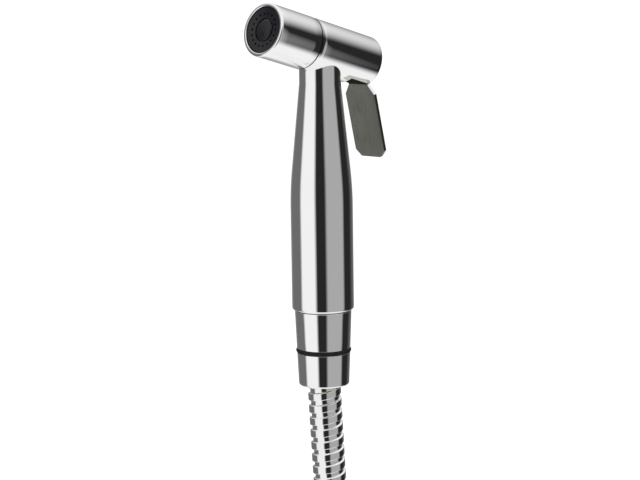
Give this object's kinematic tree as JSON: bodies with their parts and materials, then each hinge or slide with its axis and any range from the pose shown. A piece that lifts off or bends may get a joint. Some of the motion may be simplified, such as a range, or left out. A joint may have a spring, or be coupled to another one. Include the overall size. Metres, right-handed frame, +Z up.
{
  "type": "hand-held rinse sprayer",
  "caption": "Hand-held rinse sprayer with a round tilted head, tapered handle, rear thumb lever, conical nut and coiled steel hose.",
  "frame": {"origin": "on the handle's axis at the centre of the conical nut's rubber ring, where a wall holder grips it", "axes": "+Z up the handle's axis, -Y the way the head sprays, +Y towards the thumb lever, +X to the right seen from behind the lever"},
  "size_m": [0.1879, 0.2055, 0.3018],
  "materials": {
    "chrome": "mirror-polished chrome-plated",
    "lever_steel": "polished stainless steel",
    "hose_steel": "polished double-interlock stainless steel",
    "face_plastic": "black moulded",
    "disc_plastic": "moulded acetal",
    "rubber": "black rubber",
    "brass": "turned",
    "inner_steel": "turned"
  },
  "bodies": {
    "sprayer": {"conical_nut": "chrome", "face_gasket": "rubber", "flow_disc": "disc_plastic", "front_cap": "chrome", "handle_shell": "chrome", "head_barrel": "chrome", "hose_coil": "hose_steel", "hose_drop": "hose_steel", "hose_ferrule": "brass", "hose_sleeve": "inner_steel", "hose_tail": "hose_steel", "hose_washer": "rubber", "inlet_nipple": "brass", "inlet_tube": "brass", "lever_pin": "lever_steel", "nut_ring": "rubber", "rear_cap": "chrome", "seat_seal": "rubber", "spray_face": "face_plastic", "stem_guide": "brass", "stem_seal": "rubber", "supply_ferrule": "brass", "supply_sleeve": "inner_steel", "supply_washer": "rubber", "tube_seal": "rubber", "valve_seat": "brass", "valve_spring": "inner_steel"},
    "lever": {"lever": "lever_steel"},
    "valve": {"valve_stem": "inner_steel", "stem_collar": "inner_steel", "poppet": "brass", "poppet_washer": "rubber", "poppet_nut": "brass"},
    "supply_nut": {"supply_nut": "chrome"}
  },
  "joints": [
    {"name": "lever_press", "type": "hinge", "parent": "sprayer", "child": "lever", "pos_m": [0, 0.0176, 0.11639], "axis": [-1, 0, 0], "range_deg": [0, 16], "stiffness_Nm_per_rad": 0.8, "springref_deg": -6.88},
    {"name": "valve_slide", "type": "slide", "parent": "sprayer", "child": "valve", "axis": [0, 0.9655, -0.2605], "range_m": [0, 0.0019], "deforming": ["valve_spring"]},
    {"name": "supply_nut_spin", "type": "hinge", "parent": "sprayer", "child": "supply_nut", "pos_m": [0.008, -0.004, -0.145], "axis": [-1, 0, 0], "continuous": true}
  ],
  "couplings": [
    {"joint": "valve_slide", "follows": "lever_press", "m_per_rad": 0.0068}
  ]
}
